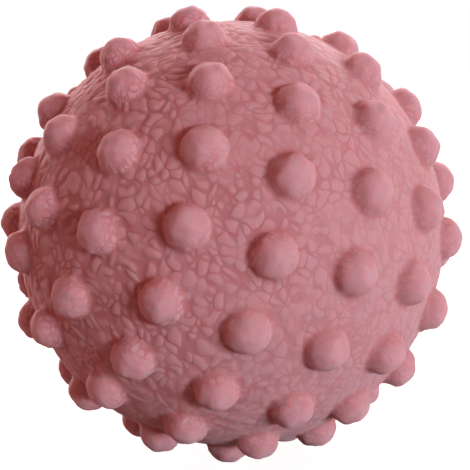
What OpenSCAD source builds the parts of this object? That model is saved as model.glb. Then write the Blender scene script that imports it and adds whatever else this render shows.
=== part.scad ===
// Sensory ball: a soft hollow ball covered with rounded nubs, with a squeaker pressed into one pole.
// The nubs stand in rings about a pole axis, and the axis is tilted so that the ball rests on three nubs.
// Pieces that lie on the pole axis are drawn along X, with X outwards, and then turned onto that axis.

/* [Ball] */
// Diameter of the skin between the nubs
ball_d = 69; // [60:1:90]
// Thickness of the soft wall
wall_t = 2.5; // [2.2:0.1:3.2]

/* [Nubs] */
// Height of a nub above the skin
nub_h = 3; // [2:0.1:4]
// Diameter of a nub where it meets the skin
nub_d = 7.2; // [5:0.1:8]
// Angle from one ring of nubs to the next
ring_pitch = 20.8; // [20:0.1:21]

/* [Squeaker] */
// Diameter of the hole through the wall
hole_d = 7.2; // [6.8:0.1:7.6]
// Gap around the squeaker in the wall
seat_clearance = 0.05; // [0.02:0.01:0.1]
// Diameter of the flange
flange_d = 9.6; // [9:0.1:10.4]
// Thickness of the flange
flange_t = 1; // [0.8:0.1:1.2]
// Length of the tube behind the flange
tube_l = 12; // [11:0.5:16]
// Thickness of the tube's wall
tube_wall_t = 0.9; // [0.7:0.1:1]
// Diameter of the bead that snaps in behind the wall
bead_d = 8.6; // [8.2:0.1:9.4]
// Thickness of that bead
bead_t = 1; // [0.6:0.1:1.6]
// Diameter of the sound hole in the flange
sound_hole_d = 2; // [1.2:0.1:3]

/* [Reed] */
// Length of the half-round reed seat
seat_l = 10.5; // [9:0.5:10.5]
// Gap around the seat and the clip in the tube
plug_clearance = 0.03; // [0.02:0.01:0.06]
// Width of the air trough in the seat
trough_w = 2.4; // [1.6:0.1:2.8]
// Depth of the air trough
trough_depth = 1.2; // [0.8:0.1:1.6]
// Length of seat left solid past the trough's end
trough_land = 1; // [0.8:0.1:1.6]
// Length of the half-round clip
clip_l = 3.5; // [2.5:0.1:4]
// Width of the reed
reed_w = 3.6; // [3.2:0.1:4]
// Thickness of the reed
reed_t = 0.2; // [0.15:0.01:0.3]
// Length of seat that shows past the reed's free end
reed_end_margin = 0.4; // [0.2:0.1:0.7]
// Diameter of the bead along the reed's root
root_d = 0.7; // [0.6:0.05:0.9]
// Distance of the reed's root from the clip's inner face
root_inset = 0.8; // [0.6:0.1:1.2]
// Gap around the reed and its root
reed_clearance = 0.08; // [0.04:0.01:0.1]
// Angle of the reed's largest lift
reed_lift_angle = 8; // [2:1:10]

/* [Hidden] */
$fn = 64;
ball_fn = 128;
nub_fn = 40;
overrun = 1;

// Nubs in each ring, from the closed pole to the squeaker
ring_counts = [6, 12, 17, 19, 18, 16, 11, 5];
// Turn of each ring from straight down, as a share of the ring's own spacing
ring_turn_shares = [0.8, 0.35, 0.75, 0.3, 0.5, 0.95, 0.5, 0.15];
// Latitude of the first ring, towards the closed pole
first_lat = -71;
// The two rings that carry the ball: two nubs of the first ring past the equator, and one of the next
pair_ring = ceil(-first_lat / ring_pitch);
lone_ring = pair_ring + 1;

function ring_lat(k) = first_lat + ring_pitch * k;
function ring_step(k) = 360 / ring_counts[k];
function nub_turn(k, i) = ring_step(k) * (i + ring_turn_shares[k]);

// Tilt of the pole axis at which the three resting nubs are equally low
pair_turn = ring_step(pair_ring) * (1 - ring_turn_shares[pair_ring]);
lone_turn = ring_step(lone_ring) * (1 - ring_turn_shares[lone_ring]);
rest_tilt = atan(
    (cos(ring_lat(pair_ring)) * cos(pair_turn) - cos(ring_lat(lone_ring)) * cos(lone_turn))
    / (sin(ring_lat(lone_ring)) - sin(ring_lat(pair_ring))));

// A nub is part of a small sphere that meets the skin on the nub's foot circle
ball_r = ball_d / 2;
cavity_d = ball_d - 2 * wall_t;
function sphere_x(d, across) = sqrt(pow(d / 2, 2) - pow(across / 2, 2));
nub_rise = nub_h + ball_r - sphere_x(ball_d, nub_d);
nub_r = (pow(nub_d / 2, 2) + pow(nub_rise, 2)) / (2 * nub_rise);
nub_centre = ball_r + nub_h - nub_r;

// Places along the pole axis, from the skin inwards
recess_d = flange_d + 2 * seat_clearance;
flange_face_x = sphere_x(ball_d, recess_d);
recess_x = flange_face_x - flange_t;
tube_d = hole_d - 2 * seat_clearance;
bore_d = tube_d - 2 * tube_wall_t;
tube_end_x = recess_x - tube_l;
bead_face_x = sphere_x(cavity_d, bead_d) - seat_clearance;
plug_d = bore_d - 2 * plug_clearance;
seat_end_x = recess_x - seat_l;
clip_end_x = recess_x - clip_l;
root_x = clip_end_x + root_inset;
reed_end_x = seat_end_x + reed_end_margin;

// Heights across the reed, from the flat of the seat
reed_mid_z = reed_clearance + reed_t / 2;
slot_h = reed_mid_z + reed_t / 2 + root_inset * tan(reed_lift_angle) + reed_clearance;
socket_d = root_d + 2 * reed_clearance;
socket_w = reed_w + 2 * reed_clearance;

// Turns what is drawn along X onto the tilted pole axis
module on_pole_axis() {
    rotate([0, rest_tilt, 0]) children();
}

// A ball whose own poles lie on X
module ball(d) {
    rotate([0, 90, 0]) sphere(d = d, $fn = ball_fn);
}

// A disc or rod along X, from one place to another
module rod(from_x, to_x, d) {
    translate([from_x, 0, 0]) rotate([0, 90, 0]) cylinder(d = d, h = to_x - from_x);
}

// A block from one place along X to another, centred across, between two heights
module block(from_x, to_x, w, low_z, high_z) {
    translate([from_x, -w / 2, low_z]) cube([to_x - from_x, w, high_z - low_z]);
}

// Puts a nub at a latitude and a turn about the pole axis, where no turn is straight down
module nub(lat, turn) {
    rotate([turn, 0, 0]) rotate([0, -lat, 0]) translate([0, 0, -nub_centre]) sphere(r = nub_r, $fn = nub_fn);
}

// The nub on the closed pole and every ring of nubs
module nubs() {
    nub(-90, 0);
    for (k = [0 : len(ring_counts) - 1])
        for (i = [0 : ring_counts[k] - 1])
            nub(ring_lat(k), nub_turn(k, i));
}

// The soft hollow ball, with its nubs and the stepped hole for the squeaker
module shell() {
    color("#c6868b")
    on_pole_axis()
    difference() {
        union() {
            ball(ball_d);
            nubs();
        }
        ball(cavity_d);
        rod(recess_x, ball_r + nub_h + overrun, recess_d);
        rod(bead_face_x - bead_t, recess_x + overrun, hole_d);
    }
}

// The squeaker's cup: flange, tube and snap bead, bored from its inner end to the flange
module squeaker_housing() {
    color("#f1efe9")
    on_pole_axis()
    difference() {
        union() {
            rod(recess_x, flange_face_x, flange_d);
            rod(tube_end_x, recess_x, tube_d);
            rod(bead_face_x - bead_t, bead_face_x, bead_d);
        }
        rod(tube_end_x - overrun, recess_x, bore_d);
        rod(recess_x - overrun, flange_face_x + overrun, sound_hole_d);
    }
}

// The round socket for the bead along the reed's root
module root_socket() {
    translate([root_x, socket_w / 2, reed_mid_z]) rotate([90, 0, 0]) cylinder(d = socket_d, h = socket_w);
}

// The lower half plug, with the air trough that the reed lies over
module reed_seat() {
    color("#e9e6de")
    on_pole_axis()
    difference() {
        rod(seat_end_x, recess_x, plug_d);
        block(seat_end_x - overrun, recess_x + overrun, plug_d + overrun, 0, plug_d);
        block(seat_end_x + trough_land, recess_x + overrun, trough_w, -trough_depth, overrun);
        root_socket();
    }
}

// The film tongue, with a bead along its root to turn on
module reed() {
    color("#dfe6ea")
    on_pole_axis()
    union() {
        block(reed_end_x, root_x, reed_w, reed_mid_z - reed_t / 2, reed_mid_z + reed_t / 2);
        translate([root_x, reed_w / 2, reed_mid_z]) rotate([90, 0, 0]) cylinder(d = root_d, h = reed_w);
    }
}

// The upper half plug, which holds the reed's root on the seat and leaves a slot for the reed to lift
module reed_clip() {
    color("#e9e6de")
    on_pole_axis()
    difference() {
        rod(clip_end_x, recess_x, plug_d);
        block(clip_end_x - overrun, recess_x + overrun, plug_d + overrun, -plug_d, 0);
        block(clip_end_x - overrun, root_x, socket_w, -overrun, slot_h);
        root_socket();
    }
}

shell();
squeaker_housing();
reed_seat();
reed();
reed_clip();
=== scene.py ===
# A soft hollow sensory ball: a pebbled rubber skin with rings of rounded nubs, and a squeaker in one pole.
# Sizes are in metres. Pieces are drawn with the pole axis along X, squeaker outwards, and then turned as the
# ball rests. A rise is a share of a nub's height above the skin.
import itertools
import math

import bpy
import numpy as np
from mathutils import Matrix, Vector


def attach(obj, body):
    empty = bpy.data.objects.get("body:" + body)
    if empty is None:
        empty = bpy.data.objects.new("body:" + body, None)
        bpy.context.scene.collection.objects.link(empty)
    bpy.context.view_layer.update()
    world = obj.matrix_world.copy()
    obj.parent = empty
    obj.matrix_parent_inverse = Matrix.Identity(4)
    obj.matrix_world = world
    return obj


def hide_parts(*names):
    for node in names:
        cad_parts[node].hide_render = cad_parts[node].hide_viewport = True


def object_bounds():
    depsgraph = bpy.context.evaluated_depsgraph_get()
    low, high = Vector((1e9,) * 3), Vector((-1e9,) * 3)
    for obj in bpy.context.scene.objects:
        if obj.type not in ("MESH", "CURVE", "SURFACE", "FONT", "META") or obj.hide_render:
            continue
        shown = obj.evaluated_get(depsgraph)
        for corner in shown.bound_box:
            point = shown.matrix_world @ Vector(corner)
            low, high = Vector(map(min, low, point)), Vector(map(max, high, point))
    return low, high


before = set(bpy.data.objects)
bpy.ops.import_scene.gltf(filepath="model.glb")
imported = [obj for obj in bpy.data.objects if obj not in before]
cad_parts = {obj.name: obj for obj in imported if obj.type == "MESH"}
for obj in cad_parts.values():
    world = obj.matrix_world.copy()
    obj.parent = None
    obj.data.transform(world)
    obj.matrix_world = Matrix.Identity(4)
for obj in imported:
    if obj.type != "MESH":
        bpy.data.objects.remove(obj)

cad_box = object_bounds()

# Ball and nubs: a nub is a dome on a hollow fillet, and its reach is where the plain skin begins. The rings
# are counted from the closed pole, and each is turned by a share of its own spacing.
SKIN_R = 0.0345
WALL_T = 0.0025
CAVITY_R = SKIN_R - WALL_T
NUB_H = 0.003
DOME_R = 0.0035
FILLET_R = 0.0004
RING_COUNTS = np.array([6, 12, 17, 19, 18, 16, 11, 5])
RING_TURN_SHARES = np.array([0.8, 0.35, 0.75, 0.3, 0.5, 0.95, 0.5, 0.15])
FIRST_LATITUDE = math.radians(-71)
RING_PITCH = math.radians(20.8)
NUB_REACH = math.radians(8.95)

# Squeaker: its stepped hole in the wall, then its own sizes
RECESS_R = 0.00485
HOLE_R = 0.0036
LIP_R = 0.0002
RIM_R = RECESS_R + LIP_R
FLANGE_R = 0.0048
FLANGE_T = 0.001
TUBE_R = 0.00355
TUBE_L = 0.012
BORE_R = 0.00265
BEAD_R = 0.0043
BEAD_T = 0.001
BEAD_GAP = 0.00005
SOUND_HOLE_R = 0.001
EDGE_R = 0.00015

# Steps of the skin's grid along a cube's edge, outside and in the cavity, and along the square that both
# leave out for the hole; steps round the squeaker; points of a quarter circle; and a length taken as none
SKIN_STEPS = 126
CAVITY_STEPS = 20
HOLE_STEPS = 12
CUP_STEPS = 72
ARC_POINTS = 5
TINY = 1e-12

# Pebbles of the grain: the cell that holds one, how far it strays in its cell, how much of its height it
# falls towards its edge, where that edge is, in cells, and how many cells away a pebble is still felt
GRAIN_SEED = 7
GRAIN_CELL = 0.002
PEBBLE_SCATTER = 0.7
PEBBLE_DOME = 0.65
PEBBLE_REACH = 0.75
NEAR_CELLS = 2

# The shader's rule for mixing words of 32 bits: how far words turn in its two stirrings, and its first word
MIXING_TURNS = (4, 6, 8, 16, 19, 4)
SETTLING_TURNS = (14, 11, 25, 16, 4, 14, 24)
FIRST_WORD = 0xDEADBEEF + 13
WORD_BITS = 32
WORD_TOP = 0xFFFFFFFF

# Grooves between the pebbles: their depth, how round they leave the pebbles' corners, the gap midway between
# two pebbles, and the shares of it where a groove's side starts and its floor starts, sooner in a wide groove
GRAIN_DEPTH = 0.00023
GROOVE_SOFTNESS = 0.75
WHOLE_GAP = GROOVE_SOFTNESS / 8
GROOVE_START_SHARE = 0.1
GROOVE_FLOOR_SHARE = 1.1
GROOVE_WIDENING = 0.5

# How the grooves change over the ball: their width towards the closed pole, their depth with the width, and
# what is lost on the nubs, in faint places and at the hole. On the nubs' flanks the grain is finer. A
# modelled point stands for a small patch of skin, whose first side is square to the lean.
WIDTH_MEAN = 0.1
WIDTH_TO_POLE = 0.48
WIDTH_WANDER = 0.1
WIDTH_MOST = 0.6
DEPTH_LEAST = 0.6
DEPTH_WITH_WIDTH = 1.2
DEPTH_LOST_ON_NUB = 0.4
DEPTH_RISES = (0.05, 0.6)
FAINT_SHARE = 0.5
FAINT_FIELD = (-0.9, 0.1)
HOLE_CALM_W = 0.0012
FLANK_FINENESS = 1.7
FLANK_RISES = (0.02, 0.2)
FLANK_LOST_ON_TOP = 0.8
TOP_RISES = (0.6, 0.95)
PATCH_R = 0.00018
PATCH_LEAN = np.array([0.3, 0.5, 0.8])

# Uneven surface of the nubs: broad lumps and small knobs
LUMP_DEPTH = 0.00022
KNOB_DEPTH = 0.00013
LUMP_SWING = 1.5
LUMP_RISE = 0.3

# Fields of waves: seed, number of waves, shortest and longest wave. The two bends are how far, in cells, the
# first two fields carry the grain.
LONG_BEND_WAVES = (GRAIN_SEED, 24, 2.5 * GRAIN_CELL, 5 * GRAIN_CELL)
LONG_BEND = 0.3
SHORT_BEND_WAVES = (GRAIN_SEED + 1, 24, 0.9 * GRAIN_CELL, 1.6 * GRAIN_CELL)
SHORT_BEND = 0.14
FAINT_WAVES = (GRAIN_SEED + 2, 24, 0.003, 0.006)
WIDTH_WAVES = (GRAIN_SEED + 3, 16, 0.008, 0.02)
LUMP_WAVES = (GRAIN_SEED + 4, 32, 0.0022, 0.005)
KNOB_WAVES = (GRAIN_SEED + 5, 48, 0.0016, 0.003)

# Finishes: sizes and heights of the patterns, the nubs' tops painted paler as a painted highlight, and
# painted shade in a redder band at their feet.
# The matte grain and the mould's grain are drawn coarser than the real ones, so that they show.
GRAIN_BUMP = 0.2 * GRAIN_DEPTH
MATTE_GRAIN = 0.0005
MATTE_BUMP = 0.00004
# Rises over which the nubs' tops are painted paler, a painted highlight
TOP_HIGHLIGHT_RISES = (0.5, 1.0)
# Width and strength of the painted shade, a dark red band at the nubs' feet
FOOT_W = 0.00045
PAINTED_FOOT_SHADE = 0.3
CLOUD_SIZE = 0.004
MOULD_GRAIN = 0.0004
MOULD_BUMP = 0.00003
HAZE_SIZE = 0.0015

# Floor, and the lights' distance from the ball
FLOOR_REACH = 2.0
FLOOR_LIFT = 0.95
LIGHT_DISTANCE = 2.0

# Camera, from the photograph's frame of 470 pixels
IMAGE_PX = 470
FOCAL_PX = 1152
BALL_PX = (231.2, 233.1)
SENSOR_MM = 36
NEAREST_SEEN = 0.01
CAMERA_AZIMUTH = math.radians(-18.03)
CAMERA_ELEVATION = math.radians(8.06)
CAMERA_ROLL = math.radians(3.69)
CAMERA_DISTANCE = 0.19


def unit(vectors):
    """Vectors of length one along the last axis."""
    return vectors / np.linalg.norm(vectors, axis=-1, keepdims=True)


def smoothstep(low, high, x):
    """Rises smoothly from 0 at low to 1 at high."""
    t = np.clip((x - low) / (high - low), 0, 1)
    return t * t * (3 - 2 * t)


def nub_axes():
    """Unit vectors from the centre through the nubs: the closed pole, then each ring in equal steps."""
    ring = np.repeat(np.arange(len(RING_COUNTS)), RING_COUNTS)
    place = np.arange(len(ring)) - np.repeat(np.cumsum(RING_COUNTS) - RING_COUNTS, RING_COUNTS)
    latitude = FIRST_LATITUDE + RING_PITCH * ring
    turn = 2 * np.pi / RING_COUNTS[ring] * (place + RING_TURN_SHARES[ring])
    rings = np.stack([np.sin(latitude), np.cos(latitude) * np.sin(turn), -np.cos(latitude) * np.cos(turn)], 1)
    return np.vstack([[-1, 0, 0], rings])


def rest_turn():
    """Turn about Y to the resting place, where two nubs of one ring and one of the next are equally low."""
    pair = math.ceil(-FIRST_LATITUDE / RING_PITCH)
    rings = np.array([pair, pair + 1])
    latitude = FIRST_LATITUDE + RING_PITCH * rings
    turn = 2 * np.pi / RING_COUNTS[rings] * (1 - RING_TURN_SHARES[rings])
    low = np.cos(latitude) * np.cos(turn)
    tilt = math.atan((low[0] - low[1]) / (math.sin(latitude[1]) - math.sin(latitude[0])))
    return np.array(Matrix.Rotation(tilt, 3, "Y"))


def holed_ball(steps, hole_angle):
    """Directions, quads and hole ring of a ball with a round hole at +X.

    The points are those of a cube's surface in whole steps, spread by the tangent so that they stand evenly.
    On the +X face a square block is left out. Around it each square of points becomes a circle about X, and
    the circles pass into the cube's own grid by the edge of the face.
    """
    i, j = np.meshgrid(np.arange(steps), np.arange(steps), indexing="ij")
    corners = np.stack([np.stack([i + a, j + b], -1) for a, b in ((0, 0), (1, 0), (1, 1), (0, 1))], 2)
    faces = []
    for axis, side in itertools.product(range(3), (0, steps)):
        face = np.full((steps, steps, 4, 3), side)
        face[..., (axis + 1) % 3] = corners[..., 0]
        face[..., (axis + 2) % 3] = corners[..., 1]
        faces.append(face.reshape(-1, 4, 3)[:, :: 1 if side else -1])
    quads = 2 * np.concatenate(faces) - steps
    across = np.abs(quads[..., 1:]).max((1, 2))
    quads = quads[(quads[..., 0].min(1) < steps) | (across > HOLE_STEPS)]
    lattice, index = np.unique(quads.reshape(-1, 3), axis=0, return_inverse=True)

    share = lattice / steps
    cube = unit(np.tan(share * np.pi / 4))
    y, z = share[:, 1], share[:, 2]
    square = np.maximum(np.abs(y), np.abs(z))
    with np.errstate(divide="ignore", invalid="ignore"):
        sideways = np.pi / 4 * z / y + np.where(y < 0, np.pi, 0)
        upwards = np.pi / 2 - np.pi / 4 * y / z + np.where(z < 0, np.pi, 0)
    around = np.where(np.abs(y) >= np.abs(z), sideways, upwards) % (2 * np.pi)
    start = HOLE_STEPS / steps
    out = hole_angle + (square - start) / (1 - start) * (np.pi / 4 - hole_angle)
    polar = np.stack([np.cos(out), np.sin(out) * np.cos(around), np.sin(out) * np.sin(around)], 1)
    on_face = lattice[:, 0] == steps
    weight = np.where(on_face, 1 - smoothstep(start, 1, square), 0)[:, None]
    directions = unit(np.where(weight > 0, polar, 0) * weight + cube * (1 - weight))
    ring = np.flatnonzero(on_face & (np.round(square * steps) == HOLE_STEPS))
    return directions, index.reshape(-1, 4), ring[np.argsort(around[ring])]


def nubbed_skin(directions):
    """Points and outward normals of the smooth skin, each point's rise and how near it is to a nub's foot.

    A direction belongs to its nearest nub. Within the nub's reach, its angle from the nub's axis is the same
    share of the way down the nub: along the dome's arc, then along a hollow fillet that touches dome and
    skin, then along the skin. The last two results are shares from 0 to 1.
    """
    axes = nub_axes()
    cosine = directions @ axes.T
    axis = axes[cosine.argmax(1)]
    angle = np.arccos(np.clip(cosine.max(1), -1, 1))
    across = directions - axis * np.cos(angle)[:, None]
    across /= np.maximum(np.linalg.norm(across, axis=1), TINY)[:, None]

    dome_y = SKIN_R + NUB_H - DOME_R
    fillet_y = ((SKIN_R + FILLET_R) ** 2 - (DOME_R + FILLET_R) ** 2 + dome_y ** 2) / (2 * dome_y)
    fillet_x = math.sqrt((SKIN_R + FILLET_R) ** 2 - fillet_y ** 2)
    dome_end = math.atan2(fillet_x, fillet_y - dome_y)
    foot = math.atan2(fillet_x, fillet_y)
    dome_l = DOME_R * dome_end
    fillet_l = FILLET_R * (dome_end - foot)
    skin_l = SKIN_R * (NUB_REACH - foot)
    way = np.minimum(angle / NUB_REACH, 1) * (dome_l + fillet_l + skin_l)

    on = [way < dome_l, way < dome_l + fillet_l]
    skin_lean = np.where(angle < NUB_REACH, foot + (way - dome_l - fillet_l) / SKIN_R, angle)
    lean = np.select(on, [way / DOME_R, dome_end - (way - dome_l) / FILLET_R], skin_lean)
    out, up = np.sin(lean), np.cos(lean)
    x = np.select(on, [DOME_R * out, fillet_x - FILLET_R * out], SKIN_R * out)
    y = np.select(on, [dome_y + DOME_R * up, fillet_y - FILLET_R * up], SKIN_R * up)
    points = axis * y[:, None] + across * x[:, None]
    normals = axis * up[:, None] + across * out[:, None]
    rise = np.clip((np.linalg.norm(points, axis=1) - SKIN_R) / NUB_H, 0, 1)
    # The mask of the painted shade at the feet: how near a point lies to a nub's foot
    foot_shade_mask = np.exp(-((way - dome_l - fillet_l / 2) / FOOT_W) ** 2) * (angle < NUB_REACH)
    return points, normals, rise, foot_shade_mask


def waves(points, seed, count, shortest, longest, width=1):
    """A smooth wandering field, width numbers a point: a sum of plane sine waves of random way and length."""
    draw = np.random.default_rng(seed)
    along = unit(draw.normal(size=(count, 3))) * (2 * np.pi / draw.uniform(shortest, longest, (count, 1)))
    phase = draw.uniform(0, 2 * np.pi, count)
    pushes = draw.normal(size=(count, width)) / math.sqrt(count / 2)
    return np.sin(points @ along.T + phase) @ pushes


def cell_shares(cells):
    """Three random shares for each whole-number cell, by the word-mixing rule of the shader's cell texture.

    The numbers' own bits are three words. They are stirred by subtracting, turning and crossing over, so that
    the modelled grooves lie exactly under the drawn ones.
    """
    as_word = np.uint32

    def turned(word, bits):
        return (word << as_word(bits)) | (word >> as_word(WORD_BITS - bits))

    def settled(words):
        words = list(words)
        for step, bits in enumerate(SETTLING_TURNS):
            into, source = (step + 2) % 3, (step + 1) % 3
            words[into] = (words[into] ^ words[source]) - turned(words[source], bits)
        return words[2]

    def mixed(words):
        words = list(words)
        for step, bits in enumerate(MIXING_TURNS):
            into, source, other = step % 3, (step + 2) % 3, (step + 1) % 3
            words[into] = (words[into] - words[source]) ^ turned(words[source], bits)
            words[source] = words[source] + words[other]
        return words

    def bits_of(numbers):
        return np.ascontiguousarray(np.asarray(numbers, np.float32) + np.float32(0)).view(as_word)

    def first_word(count):
        return as_word((FIRST_WORD + 4 * count) & WORD_TOP)

    words = [bits_of(cells[..., k]) for k in range(3)]
    shares = [settled([first_word(3) + word for word in words])]
    a, b, c = mixed([first_word(4) + word for word in words])
    shares += [settled([a + bits_of(np.full(a.shape, extra)), b, c]) for extra in (1.0, 2.0)]
    return np.stack(shares, -1) / float(WORD_TOP)


def groove_share(places):
    """How far into a groove each place is, and its distance from the middle of its pebble, in cells.

    Every cell has a seed point, the middle of a pebble. The share is the root of the gap between the distance
    to the nearest seed and the same distance smoothed over all seeds near by, so pebbles get round corners:
    0 on a pebble, 1 midway between two, more where three meet. The cells are taken in the shader's order, as
    the smoothing depends on it.
    """
    cell = np.floor(places).astype(int)
    low = cell.min(0) - NEAR_CELLS
    sides = [np.arange(first, last + 1) for first, last in zip(low, cell.max(0) + NEAR_CELLS)]
    lattice = np.stack(np.meshgrid(*sides, indexing="ij"), -1)
    seeds = lattice + PEBBLE_SCATTER * cell_shares(lattice)
    soft = GROOVE_SOFTNESS / 2
    nearest = np.full(len(places), np.inf)
    smoothed = None
    for step in itertools.product(range(-NEAR_CELLS, NEAR_CELLS + 1), repeat=3):
        reach = np.linalg.norm(seeds[tuple((cell - low + step[::-1]).T)] - places, axis=1)
        nearest = np.minimum(nearest, reach)
        smoothed = reach if smoothed is None else smoothed
        part = smoothstep(0, 1, 0.5 + 0.5 * (smoothed - reach) / soft)
        smoothed = smoothed + (reach - smoothed) * part - soft * part * (1 - part)
    return np.sqrt(np.maximum(nearest - smoothed, 0) / WHOLE_GAP), nearest


def pebble_height(places, width):
    """Height of the pebbled grain, from 0 on the floor of a groove to 1 on the middle of a pebble.

    A groove has soft sides, and the width, from 0 to 1, widens its floor. The pebble is domed: it falls by a
    share of its height with the square of the distance from its middle.
    """
    share, from_middle = groove_share(places)
    dome = 1 - PEBBLE_DOME * np.minimum(from_middle / PEBBLE_REACH, 1) ** 2
    return dome * (1 - smoothstep(GROOVE_START_SHARE, GROOVE_FLOOR_SHARE - GROOVE_WIDENING * width, share))


def grain_places(points):
    """A point's place in the grain's own space: its place over the cell size, bent by two fields of waves."""
    long_bend = waves(points, *LONG_BEND_WAVES, width=3)
    short_bend = waves(points, *SHORT_BEND_WAVES, width=3)
    return points / GRAIN_CELL + LONG_BEND * long_bend + SHORT_BEND * short_bend


def uneven(points, normals, rise):
    """Points of the nubs moved in and out along their normals, by a field of lumps and a field of knobs."""
    lumps, knobs = [
        smoothstep(-LUMP_SWING, LUMP_SWING, waves(points, *field)[:, 0]) - 0.5
        for field in (LUMP_WAVES, KNOB_WAVES)]
    sink = smoothstep(0, LUMP_RISE, rise) * (LUMP_DEPTH * lumps + KNOB_DEPTH * knobs)
    return points - normals * sink[:, None]


def groove_fields(points, to_squeaker, rise):
    """Depth and width of the grooves at each point, and its share of the finer grain of the nubs' flanks.

    The width grows away from the squeaker, with the cosine of the angle to it, and wanders. The depth grows
    with the width, is faint in places, less on the nubs and nothing at the squeaker's hole.
    """
    from_hole = np.arccos(np.clip(to_squeaker, -1, 1)) * SKIN_R - RIM_R
    calm = smoothstep(0, HOLE_CALM_W, from_hole)
    faint = FAINT_SHARE + (1 - FAINT_SHARE) * smoothstep(*FAINT_FIELD, waves(points, *FAINT_WAVES)[:, 0])
    width = WIDTH_MEAN - WIDTH_TO_POLE * to_squeaker + WIDTH_WANDER * waves(points, *WIDTH_WAVES)[:, 0]
    width = np.clip(width, 0, WIDTH_MOST)
    on_nub = 1 - DEPTH_LOST_ON_NUB * smoothstep(*DEPTH_RISES, rise)
    depth = calm * faint * (DEPTH_LEAST + DEPTH_WITH_WIDTH * width) * on_nub
    flank = smoothstep(*FLANK_RISES, rise) * (1 - FLANK_LOST_ON_TOP * smoothstep(*TOP_RISES, rise))
    return depth, width, flank


def patch_height(points, normals, width, flank):
    """Height of the grain at each point, as the mean of four places round it on the skin.

    On the nubs' flanks the grain passes into a smaller copy of itself.
    """
    on_nub = flank > 0
    sideways = unit(np.cross(normals, PATCH_LEAN))
    onwards = np.cross(normals, sideways)
    patch = [sideways, -sideways, onwards, -onwards]
    height = 0
    for shift in patch:
        places = grain_places(points + PATCH_R * shift)
        grain = pebble_height(places, width)
        fine = pebble_height(FLANK_FINENESS * places[on_nub], width[on_nub])
        grain[on_nub] += flank[on_nub] * (fine - grain[on_nub])
        height = height + grain / len(patch)
    return height


def hole_rings(rim):
    """Rings of points of the squeaker's hole about X: its rounded lip, then the recess and its floor."""
    around = np.arctan2(rim[:, 2], rim[:, 1])
    bend = np.linspace(0, np.pi / 2, ARC_POINTS)[1:]
    lip_x = math.sqrt(SKIN_R ** 2 - RIM_R ** 2) - LIP_R
    floor_x = math.sqrt(SKIN_R ** 2 - RECESS_R ** 2) - FLANGE_T
    x = np.append(lip_x + LIP_R * np.cos(bend), [floor_x, floor_x])[:, None]
    r = np.append(RIM_R - LIP_R * np.sin(bend), [RECESS_R, HOLE_R])[:, None]
    return np.stack(np.broadcast_arrays(x, r * np.cos(around), r * np.sin(around)), -1)


def add_mesh(name, points, quads, numbers=None):
    """A smooth-shaded mesh object at the origin, with each named list of numbers kept at its points."""
    mesh = bpy.data.meshes.new(name)
    mesh.from_pydata(points, [], quads.tolist())
    mesh.polygons.foreach_set("use_smooth", np.ones(len(quads), bool))
    for key, values in (numbers or {}).items():
        kind, field = ("FLOAT_VECTOR", "vector") if values.ndim == 2 else ("FLOAT", "value")
        mesh.attributes.new(key, kind, "POINT").data.foreach_set(field, values.astype(np.float32).ravel())
    mesh.update()
    made = bpy.data.objects.new(name, mesh)
    bpy.context.scene.collection.objects.link(made)
    return made


def ring_bands(rings):
    """Quads between each ring of points and the next."""
    near, far = rings[:-1], rings[1:]
    return np.stack([near, far, np.roll(far, -1, 1), np.roll(near, -1, 1)], -1).reshape(-1, 4)


def make_skin():
    """The moulded skin as one closed wall: pebbled outside, the squeaker's stepped hole and a smooth cavity.

    Each outer point sinks along its normal by the grooves' depth there, times how far the grain lies below 1.
    """
    outer, outer_quads, rim = holed_ball(SKIN_STEPS, math.asin(RIM_R / SKIN_R))
    inner, inner_quads, mouth = holed_ball(CAVITY_STEPS, math.asin(HOLE_R / CAVITY_R))
    points, normals, rise, foot_shade_mask = nubbed_skin(outer)
    points[rim] = SKIN_R * outer[rim]
    points = uneven(points, normals, rise)
    depth, width, flank = groove_fields(points, outer[:, 0], rise)
    places = grain_places(points)
    height = patch_height(points, normals, width, flank)
    points = points - normals * (GRAIN_DEPTH * depth * (1 - height))[:, None]

    hole = hole_rings(outer[rim])
    hole_rows = len(outer) + np.arange(hole.shape[0] * hole.shape[1]).reshape(hole.shape[:2])
    inner_from = len(outer) + hole_rows.size
    bands = ring_bands(np.vstack([rim[None], hole_rows, inner_from + mouth[None]]))[:, ::-1]
    everything = np.vstack([points, hole.reshape(-1, 3), CAVITY_R * inner])
    quads = np.vstack([outer_quads, bands, inner_from + inner_quads[:, ::-1]])
    hidden = np.zeros(len(everything) - len(outer))
    numbers = {
        "grain_place": np.vstack([places, np.zeros((len(hidden), 3))]),
        "grain_depth": np.append(depth, hidden),
        "groove_width": np.append(width, hidden + 1),
        "nub_rise": np.append(rise, hidden),
        "nub_flank": np.append(flank, hidden),
        "nub_foot_shade": np.append(foot_shade_mask, hidden),
    }
    return add_mesh("rubber_skin", everything @ rest_turn().T, quads, numbers)


def rounded(corners, radius):
    """A closed outline of right-angled corners, each made a quarter circle, with a point before and after."""
    back = unit(np.roll(corners, 1, 0) - corners)[:, None]
    on = unit(np.roll(corners, -1, 0) - corners)[:, None]
    turn = np.linspace(0, np.pi / 2, ARC_POINTS)[:, None]
    arc = corners[:, None] + radius * ((1 - np.sin(turn)) * back + (1 - np.cos(turn)) * on)
    ends = [corners[:, None] + 2 * radius * side for side in (back, on)]
    return np.concatenate([ends[0], arc, ends[1]], 1).reshape(-1, 2)


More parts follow.
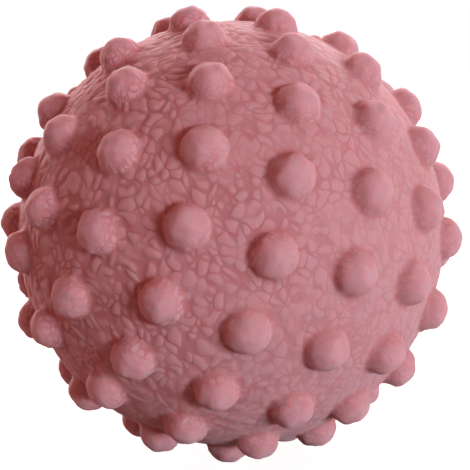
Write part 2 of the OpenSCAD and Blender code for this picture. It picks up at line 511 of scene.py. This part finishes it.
def make_cup():
    """The squeaker's moulded cup: its rounded section, turned once round the pole axis.

    The section runs from the sound hole over the flange, down the tube and its snap bead, and up the bore.
    """
    face = math.sqrt(SKIN_R ** 2 - RECESS_R ** 2)
    seat = face - FLANGE_T
    end = seat - TUBE_L
    bead = math.sqrt(CAVITY_R ** 2 - BEAD_R ** 2) - BEAD_GAP
    section = rounded(np.array([
        [face, SOUND_HOLE_R], [face, FLANGE_R], [seat, FLANGE_R], [seat, TUBE_R],
        [bead, TUBE_R], [bead, BEAD_R], [bead - BEAD_T, BEAD_R], [bead - BEAD_T, TUBE_R],
        [end, TUBE_R], [end, BORE_R], [seat, BORE_R], [seat, SOUND_HOLE_R]]), EDGE_R)
    around = np.arange(CUP_STEPS) * 2 * np.pi / CUP_STEPS
    x, r = section[:, :1], section[:, 1:]
    points = np.stack(np.broadcast_arrays(x, r * np.cos(around), r * np.sin(around)), -1).reshape(-1, 3)
    rows = np.arange(len(section) * CUP_STEPS).reshape(-1, CUP_STEPS)
    return add_mesh("squeaker_cup", points @ rest_turn().T, ring_bands(np.vstack([rows, rows[:1]])))


def linear(hex_colour):
    """An sRGB hex colour as linear red, green and blue, with full alpha."""
    shares = np.array([int(hex_colour[k:k + 2], 16) for k in (1, 3, 5)]) / 255
    curve = np.where(shares <= 0.04045, shares / 12.92, ((shares + 0.055) / 1.055) ** 2.4)
    return (*curve.tolist(), 1.0)


def add(tree, kind, inputs=None, **settings):
    """Adds a node. Settings are its own properties; inputs give a socket a value or another node's output."""
    made = tree.nodes.new(kind)
    for key, value in settings.items():
        setattr(made, key, value)
    for key, value in (inputs or {}).items():
        if isinstance(value, bpy.types.NodeSocket):
            tree.links.new(value, made.inputs[key])
        else:
            made.inputs[key].default_value = value
    return made


def new_material(name):
    """An empty node material, with its tree."""
    material = bpy.data.materials.new(name)
    material.use_nodes = True
    material.node_tree.nodes.clear()
    return material, material.node_tree


def drawn_pebbles(tree, place, width):
    """Height of the grain at a place in its own space: the modelled grooves, but sharper and not domed."""
    floor = add(tree, "ShaderNodeMath", {0: width, 1: -GROOVE_WIDENING, 2: GROOVE_FLOOR_SHARE},
                operation="MULTIPLY_ADD")
    seeds = {"Vector": place, "Scale": 1.0, "Randomness": PEBBLE_SCATTER}
    near = add(tree, "ShaderNodeTexVoronoi", seeds, feature="F1")
    soft = add(tree, "ShaderNodeTexVoronoi", seeds | {"Smoothness": GROOVE_SOFTNESS}, feature="SMOOTH_F1")
    gap = add(tree, "ShaderNodeMath", {0: near.outputs["Distance"], 1: soft.outputs["Distance"]},
              operation="SUBTRACT")
    part = add(tree, "ShaderNodeMath", {0: gap.outputs[0], 1: 1 / WHOLE_GAP},
               operation="MULTIPLY", use_clamp=True)
    share = add(tree, "ShaderNodeMath", {0: part.outputs[0]}, operation="SQRT")
    return add(tree, "ShaderNodeMapRange", {
        "Value": share.outputs[0], "From Min": GROOVE_START_SHARE, "From Max": floor.outputs[0],
        "To Min": 1.0, "To Max": 0.0}, interpolation_type="SMOOTHSTEP").outputs["Result"]


def soft_rubber():
    """Soft moulded vinyl rubber, coloured right through: matte and a little translucent.

    Hollows glow dark red through the rubber. The grooves are painted darker than the pebbles as painted
    shade, the nubs' tops are painted a little paler as a painted highlight, and their feet redder as painted
    shade.
    """
    material, tree = new_material("soft_moulded_rubber")
    place = add(tree, "ShaderNodeAttribute", attribute_name="grain_place").outputs["Vector"]
    depth = add(tree, "ShaderNodeAttribute", attribute_name="grain_depth").outputs["Fac"]
    width = add(tree, "ShaderNodeAttribute", attribute_name="groove_width").outputs["Fac"]
    rise = add(tree, "ShaderNodeAttribute", attribute_name="nub_rise").outputs["Fac"]
    flank = add(tree, "ShaderNodeAttribute", attribute_name="nub_flank").outputs["Fac"]
    foot = add(tree, "ShaderNodeAttribute", attribute_name="nub_foot_shade").outputs["Fac"]
    here = add(tree, "ShaderNodeTexCoord").outputs["Object"]

    small = add(tree, "ShaderNodeVectorMath", {0: place, "Scale": FLANK_FINENESS}, operation="SCALE")
    tops = add(tree, "ShaderNodeMix", {
        "Factor": flank, "A": drawn_pebbles(tree, place, width),
        "B": drawn_pebbles(tree, small.outputs["Vector"], width)})
    raised = add(tree, "ShaderNodeMath", {0: tops.outputs["Result"], 1: depth}, operation="MULTIPLY")
    bump = add(tree, "ShaderNodeBump", {"Height": raised.outputs[0], "Distance": GRAIN_BUMP, "Strength": 1.0})
    fine = add(tree, "ShaderNodeTexNoise", {"Vector": here, "Scale": 1 / MATTE_GRAIN, "Detail": 3.0})
    matte = add(tree, "ShaderNodeBump", {
        "Height": fine.outputs["Fac"], "Distance": MATTE_BUMP, "Strength": 1.0,
        "Normal": bump.outputs["Normal"]})

    # Painted shade: the grooves are painted a darker red, for the shade that falls in them
    groove_shade_share = add(tree, "ShaderNodeMath", {0: depth, 1: raised.outputs[0]}, operation="SUBTRACT")
    groove_shaded_colour = add(tree, "ShaderNodeMix", {
        "Factor": groove_shade_share.outputs[0], "A": linear("#c49098"), "B": linear("#b97a81")}, data_type="RGBA")
    # Painted highlight: the nubs' tops are painted paler, for the light they catch
    top = add(tree, "ShaderNodeMapRange", {
        "Value": rise, "From Min": TOP_HIGHLIGHT_RISES[0], "From Max": TOP_HIGHLIGHT_RISES[1]})
    top_highlighted = add(tree, "ShaderNodeMix", {
        "Factor": top.outputs["Result"], "A": groove_shaded_colour.outputs["Result"], "B": linear("#c6959f")},
        data_type="RGBA")
    # Painted shade: a dark red band at the nubs' feet, for the shade and red bounce light in the hollow there
    hollow = add(tree, "ShaderNodeMath", {0: foot, 1: PAINTED_FOOT_SHADE}, operation="MULTIPLY")
    foot_shaded = add(tree, "ShaderNodeMix", {
        "Factor": hollow.outputs[0], "A": top_highlighted.outputs["Result"], "B": linear("#b8544d")}, data_type="RGBA")
    shader = add(tree, "ShaderNodeBsdfPrincipled", {
        "Base Color": foot_shaded.outputs["Result"], "Roughness": 0.7, "IOR": 1.5, "Specular IOR Level": 0.1,
        "Subsurface Weight": 1.0, "Subsurface Radius": (1.0, 0.2, 0.16), "Subsurface Scale": 0.0015,
        "Normal": matte.outputs["Normal"]})
    add(tree, "ShaderNodeOutputMaterial", {"Surface": shader.outputs["BSDF"]})
    return material


def moulded_plastic(name, colour, mottled, roughness):
    """Moulded polyethylene: waxy and soft-edged, with a faint cloudy tone and the fine grain of the mould."""
    material, tree = new_material(name)
    here = add(tree, "ShaderNodeTexCoord").outputs["Object"]
    cloud = add(tree, "ShaderNodeTexNoise", {"Vector": here, "Scale": 1 / CLOUD_SIZE, "Detail": 2.0})
    tone = add(tree, "ShaderNodeMix", {
        "Factor": cloud.outputs["Fac"], "A": linear(colour), "B": linear(mottled)}, data_type="RGBA")
    fine = add(tree, "ShaderNodeTexNoise", {"Vector": here, "Scale": 1 / MOULD_GRAIN, "Detail": 3.0})
    bump = add(tree, "ShaderNodeBump", {
        "Height": fine.outputs["Fac"], "Distance": MOULD_BUMP, "Strength": 1.0})
    shader = add(tree, "ShaderNodeBsdfPrincipled", {
        "Base Color": tone.outputs["Result"], "Roughness": roughness, "IOR": 1.51, "Subsurface Weight": 0.3,
        "Subsurface Radius": (1.0, 0.9, 0.8), "Subsurface Scale": 0.0006, "Normal": bump.outputs["Normal"]})
    add(tree, "ShaderNodeOutputMaterial", {"Surface": shader.outputs["BSDF"]})
    return material


def reed_film():
    """Clear polyester film: glossy, with a faint haze and a slightly cold tone."""
    material, tree = new_material("clear_polyester_film")
    here = add(tree, "ShaderNodeTexCoord").outputs["Object"]
    haze = add(tree, "ShaderNodeTexNoise", {"Vector": here, "Scale": 1 / HAZE_SIZE, "Detail": 2.0})
    rough = add(tree, "ShaderNodeMapRange", {"Value": haze.outputs["Fac"], "To Min": 0.06, "To Max": 0.16})
    shader = add(tree, "ShaderNodeBsdfPrincipled", {
        "Base Color": linear("#dfe6ea"), "Roughness": rough.outputs["Result"], "IOR": 1.6,
        "Transmission Weight": 0.7})
    add(tree, "ShaderNodeOutputMaterial", {"Surface": shader.outputs["BSDF"]})
    return material


def seen_directly(tree):
    """1 for what the camera sees, straight, in a gloss or through clear film; 0 for light on the object."""
    path = add(tree, "ShaderNodeLightPath").outputs
    gloss = add(tree, "ShaderNodeMath", {0: path["Is Camera Ray"], 1: path["Is Glossy Ray"]},
                operation="MAXIMUM")
    return add(tree, "ShaderNodeMath", {0: gloss.outputs[0], 1: path["Is Transmission Ray"]},
               operation="MAXIMUM").outputs[0]


def white_floor():
    """Matte paper of a warm grey, so that little light comes back from it, with a lift for the camera alone.

    The lift takes its lit parts to white and keeps the shadow.
    """
    material, tree = new_material("matte_white_paper")
    paper = add(tree, "ShaderNodeBsdfDiffuse", {"Color": linear("#988680")})
    lift = add(tree, "ShaderNodeMath", {0: seen_directly(tree), 1: FLOOR_LIFT}, operation="MULTIPLY")
    glow = add(tree, "ShaderNodeEmission", {"Color": linear("#ffffff"), "Strength": lift.outputs[0]})
    both = add(tree, "ShaderNodeAddShader", {0: paper.outputs[0], 1: glow.outputs[0]})
    add(tree, "ShaderNodeOutputMaterial", {"Surface": both.outputs[0]})
    return material


def make_floor():
    """A wide level sheet under the lowest nubs."""
    sides = np.array([[-1, -1], [1, -1], [1, 1], [-1, 1]]) * FLOOR_REACH
    corners = np.column_stack([sides, np.full(len(sides), cad_box[0].z)])
    floor = add_mesh("floor", corners, np.array([[0, 1, 2, 3]]))
    floor.data.materials.append(white_floor())


def make_world(fill, colour):
    """White for the camera, and the weak warm light of a room for the object."""
    world = bpy.data.worlds.new("studio")
    world.use_nodes = True
    tree = world.node_tree
    tree.nodes.clear()
    room = add(tree, "ShaderNodeBackground", {"Color": linear(colour), "Strength": fill})
    white = add(tree, "ShaderNodeBackground", {"Color": linear("#ffffff"), "Strength": 1.0})
    both = add(tree, "ShaderNodeMixShader", {0: seen_directly(tree), 1: room.outputs[0], 2: white.outputs[0]})
    add(tree, "ShaderNodeOutputWorld", {"Surface": both.outputs[0]})
    bpy.context.scene.world = world


def view_axes():
    """Right, up and back of the photograph's view."""
    a, e, r = CAMERA_AZIMUTH, CAMERA_ELEVATION, CAMERA_ROLL
    back = Vector((math.sin(a) * math.cos(e), -math.cos(a) * math.cos(e), math.sin(e)))
    level = Vector((math.cos(a), math.sin(a), 0))
    upright = back.cross(level)
    up = upright * math.cos(r) + level * math.sin(r)
    return up.cross(back), up, back


def make_camera():
    """A camera at the photograph's angle and distance, aimed so that the ball's centre falls on its pixel."""
    right, up, back = view_axes()
    data = bpy.data.cameras.new("camera")
    data.sensor_width = SENSOR_MM
    data.lens = SENSOR_MM * FOCAL_PX / IMAGE_PX
    data.clip_start = NEAREST_SEEN
    per_px = CAMERA_DISTANCE / FOCAL_PX
    aside = right * (IMAGE_PX / 2 - BALL_PX[0]) - up * (IMAGE_PX / 2 - BALL_PX[1])
    turn = Matrix((right, up, back)).transposed().to_4x4()
    camera = bpy.data.objects.new("camera", data)
    camera.matrix_world = Matrix.Translation(back * CAMERA_DISTANCE + aside * per_px) @ turn
    bpy.context.scene.collection.objects.link(camera)
    bpy.context.scene.camera = camera


def add_light(name, side, height, width, tall, power, colour):
    """A soft light that looks at the ball, so many degrees right of the camera and above its line of sight.

    Its face is given in metres and its power in watts.
    """
    right, up, back = view_axes()
    a, e = math.radians(side), math.radians(height)
    towards = back * (math.cos(a) * math.cos(e)) + right * (math.sin(a) * math.cos(e)) + up * math.sin(e)
    data = bpy.data.lights.new(name, "AREA")
    data.shape = "RECTANGLE"
    data.size = width
    data.size_y = tall
    data.energy = power
    data.color = linear(colour)[:3]
    light = bpy.data.objects.new(name, data)
    light.location = towards * LIGHT_DISTANCE
    light.rotation_euler = towards.to_track_quat("Z", "Y").to_euler()
    bpy.context.scene.collection.objects.link(light)


bpy.context.scene.view_settings.view_transform = "Standard"
make_camera()
make_world(fill=0.41, colour="#ff967e")
make_floor()
add_light("window", side=40, height=-3, width=0.9, tall=0.4, power=58, colour="#e7faff")
add_light("beside_left", side=-135, height=12, width=1.0, tall=1.0, power=18, colour="#ffffff")
add_light("behind_left", side=-160, height=42, width=1.0, tall=1.0, power=26, colour="#ffffff")
add_light("behind_right", side=160, height=42, width=1.0, tall=1.0, power=26, colour="#ffffff")

skin = make_skin()
skin.data.materials.append(soft_rubber())
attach(skin, "ball")
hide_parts("shell")

cup = make_cup()
cup.data.materials.append(moulded_plastic("white_polyethylene", "#f3f1ec", "#ece8df", roughness=0.42))
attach(cup, "ball")
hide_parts("squeaker_housing")

natural = moulded_plastic("natural_polyethylene", "#e9e6de", "#dfdacd", roughness=0.45)
for node, material in (("reed_seat", natural), ("reed_clip", natural), ("reed", reed_film())):
    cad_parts[node].data.materials.clear()
    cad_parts[node].data.materials.append(material)
